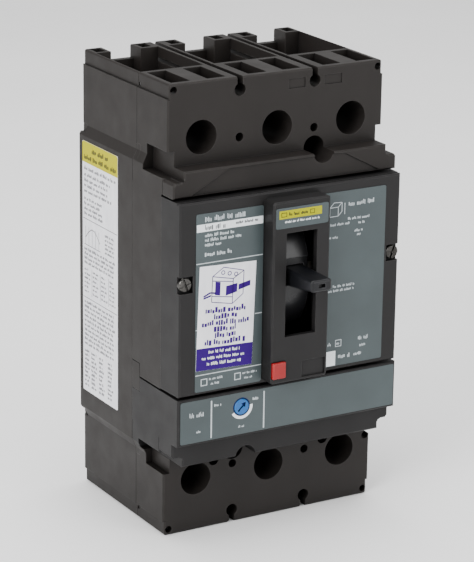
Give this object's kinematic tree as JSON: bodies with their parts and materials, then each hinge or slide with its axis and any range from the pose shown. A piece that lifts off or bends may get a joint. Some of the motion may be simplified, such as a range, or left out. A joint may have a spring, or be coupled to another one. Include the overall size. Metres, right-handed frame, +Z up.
{
  "type": "molded case circuit breaker",
  "caption": "Molded case circuit breaker with a toggle handle, trip button, removable accessory cover, box lugs at both ends and a full contact mechanism inside.",
  "frame": {"origin": "centre of the flat back face, where the breaker meets its mounting pan", "axes": "+X across the poles to the right as seen from the front, +Y from the front to the back, +Z up towards the line terminals"},
  "size_m": [0.1045, 0.1093, 0.191],
  "materials": {
    "case_plastic": "fine grained molded thermoset",
    "cover_plastic": "fine grained molded plastic",
    "handle_plastic": "satin molded plastic",
    "plate_grey_green": "satin printed film",
    "plate_yellow": "satin printed film with a yellow band",
    "paper_white": "printed paper",
    "button_red": "satin molded plastic",
    "dial_blue": "satin molded plastic",
    "screw_steel": "zinc plated",
    "mechanism_steel": "stamped and plated",
    "spring_steel": "drawn wire",
    "lug_aluminium": "tin plated",
    "strap_copper": "rolled copper",
    "blade_copper": "copper with silver tips",
    "bimetal": "rolled bimetal",
    "soft_iron": "blued",
    "cartridge_plastic": "glass filled thermoset",
    "rotor_plastic": "glass filled thermoset",
    "trip_bar_plastic": "molded plastic"
  },
  "bodies": {
    "case": {"rear_case": "case_plastic", "front_case": "case_plastic", "load_end_case": "case_plastic", "trip_unit_case": "cover_plastic", "case_screws": "screw_steel", "trip_unit_plate": "plate_grey_green", "side_label": "paper_white", "arc_chutes": "soft_iron", "bimetals": "bimetal", "magnet_yokes": "soft_iron", "mechanism_side_plates": "mechanism_steel", "mechanism_pins": "mechanism_steel", "line_strap_left": "strap_copper", "load_strap_left": "strap_copper", "heater_strap_left": "strap_copper", "pole_cartridge_left": "cartridge_plastic", "line_lug_left": "lug_aluminium", "load_lug_left": "lug_aluminium", "line_strap_centre": "strap_copper", "load_strap_centre": "strap_copper", "heater_strap_centre": "strap_copper", "pole_cartridge_centre": "cartridge_plastic", "line_lug_centre": "lug_aluminium", "load_lug_centre": "lug_aluminium", "line_strap_right": "strap_copper", "load_strap_right": "strap_copper", "heater_strap_right": "strap_copper", "pole_cartridge_right": "cartridge_plastic", "line_lug_right": "lug_aluminium", "load_lug_right": "lug_aluminium"},
    "accessory_cover": {"accessory_cover": "cover_plastic", "left_name_plate": "plate_grey_green", "right_name_plate": "plate_grey_green", "nose_plate": "plate_yellow", "notice_sticker": "paper_white", "button_spring": "spring_steel"},
    "cover_screw_left": {"cover_screw_left": "screw_steel"},
    "cover_screw_right": {"cover_screw_right": "screw_steel"},
    "handle": {"operating_handle": "handle_plastic", "handle_shield": "handle_plastic", "handle_yoke": "mechanism_steel", "main_springs": "spring_steel"},
    "rotor": {"contact_rotor_left": "rotor_plastic", "contact_rotor_centre": "rotor_plastic", "contact_rotor_right": "rotor_plastic", "contact_blades": "blade_copper", "rotor_crosspin": "mechanism_steel"},
    "upper_toggle": {"upper_toggle_links": "mechanism_steel"},
    "lower_toggle": {"lower_toggle_links": "mechanism_steel"},
    "cradle": {"latch_cradle": "mechanism_steel"},
    "trip_bar": {"trip_bar": "trip_bar_plastic", "armatures": "soft_iron"},
    "trip_button": {"trip_button": "button_red"},
    "dial": {"adjust_dial": "dial_blue"},
    "line_lug_screw_left": {"line_lug_screw_left": "screw_steel"},
    "load_lug_screw_left": {"load_lug_screw_left": "screw_steel"},
    "line_lug_screw_centre": {"line_lug_screw_centre": "screw_steel"},
    "load_lug_screw_centre": {"load_lug_screw_centre": "screw_steel"},
    "line_lug_screw_right": {"line_lug_screw_right": "screw_steel"},
    "load_lug_screw_right": {"load_lug_screw_right": "screw_steel"}
  },
  "joints": [
    {"name": "handle_pivot", "type": "hinge", "parent": "case", "child": "handle", "pos_m": [0, -0.057, 0.013], "axis": [-1, 0, 0], "range_deg": [-24.5, 17.5], "deforming": ["main_springs"]},
    {"name": "rotor_turn", "type": "hinge", "parent": "case", "child": "rotor", "pos_m": [0, -0.029, 0], "axis": [-1, 0, 0], "range_deg": [-16.7, 23.4]},
    {"name": "upper_toggle_swing", "type": "hinge", "parent": "case", "child": "upper_toggle", "pos_m": [0, -0.058, 0.033], "axis": [-1, 0, 0], "range_deg": [-11.3, 15.8]},
    {"name": "lower_toggle_swing", "type": "hinge", "parent": "rotor", "child": "lower_toggle", "pos_m": [0, -0.0414, -0.00535], "axis": [-1, 0, 0], "range_deg": [-30.9, 22.1]},
    {"name": "cradle_release", "type": "hinge", "parent": "case", "child": "cradle", "pos_m": [0, -0.0515, 0.038], "axis": [-1, 0, 0], "range_deg": [0, 8]},
    {"name": "cover_lift_off", "type": "slide", "parent": "case", "child": "accessory_cover", "axis": [0, -1, 0], "range_m": [0, 0.05]},
    {"name": "cover_screw_left_turn", "type": "hinge", "parent": "accessory_cover", "child": "cover_screw_left", "pos_m": [-0.0489, -0.08, 0.017], "axis": [0, -1, 0], "range_deg": [0, 90]},
    {"name": "cover_screw_right_turn", "type": "hinge", "parent": "accessory_cover", "child": "cover_screw_right", "pos_m": [0.0489, -0.08, 0.017], "axis": [0, -1, 0], "range_deg": [0, 90]},
    {"name": "button_press", "type": "slide", "parent": "accessory_cover", "child": "trip_button", "axis": [0, 1, 0], "range_m": [0, 0.0025], "stiffness_N_per_m": 300, "deforming": ["button_spring"]},
    {"name": "trip_bar_turn", "type": "hinge", "parent": "case", "child": "trip_bar", "pos_m": [0, -0.063, -0.042], "axis": [-1, 0, 0], "range_deg": [0, 7.4]},
    {"name": "dial_turn", "type": "hinge", "parent": "case", "child": "dial", "pos_m": [-0.0226, -0.08, -0.0384], "axis": [0, -1, 0], "range_deg": [-45, 180]},
    {"name": "line_lug_screw_left_clamp", "type": "slide", "parent": "case", "child": "line_lug_screw_left", "axis": [0, 1, 0], "range_m": [0, 0.008]},
    {"name": "load_lug_screw_left_clamp", "type": "slide", "parent": "case", "child": "load_lug_screw_left", "axis": [0, 1, 0], "range_m": [0, 0.008]},
    {"name": "line_lug_screw_centre_clamp", "type": "slide", "parent": "case", "child": "line_lug_screw_centre", "axis": [0, 1, 0], "range_m": [0, 0.008]},
    {"name": "load_lug_screw_centre_clamp", "type": "slide", "parent": "case", "child": "load_lug_screw_centre", "axis": [0, 1, 0], "range_m": [0, 0.008]},
    {"name": "line_lug_screw_right_clamp", "type": "slide", "parent": "case", "child": "line_lug_screw_right", "axis": [0, 1, 0], "range_m": [0, 0.008]},
    {"name": "load_lug_screw_right_clamp", "type": "slide", "parent": "case", "child": "load_lug_screw_right", "axis": [0, 1, 0], "range_m": [0, 0.008]}
  ],
  "couplings": [
    {"joint": "rotor_turn", "follows": "handle_pivot", "ratio": -0.952},
    {"joint": "upper_toggle_swing", "follows": "handle_pivot", "ratio": -0.642},
    {"joint": "lower_toggle_swing", "follows": "handle_pivot", "ratio": 1.257},
    {"joint": "trip_bar_turn", "follows": "button_press", "rad_per_m": 51}
  ]
}
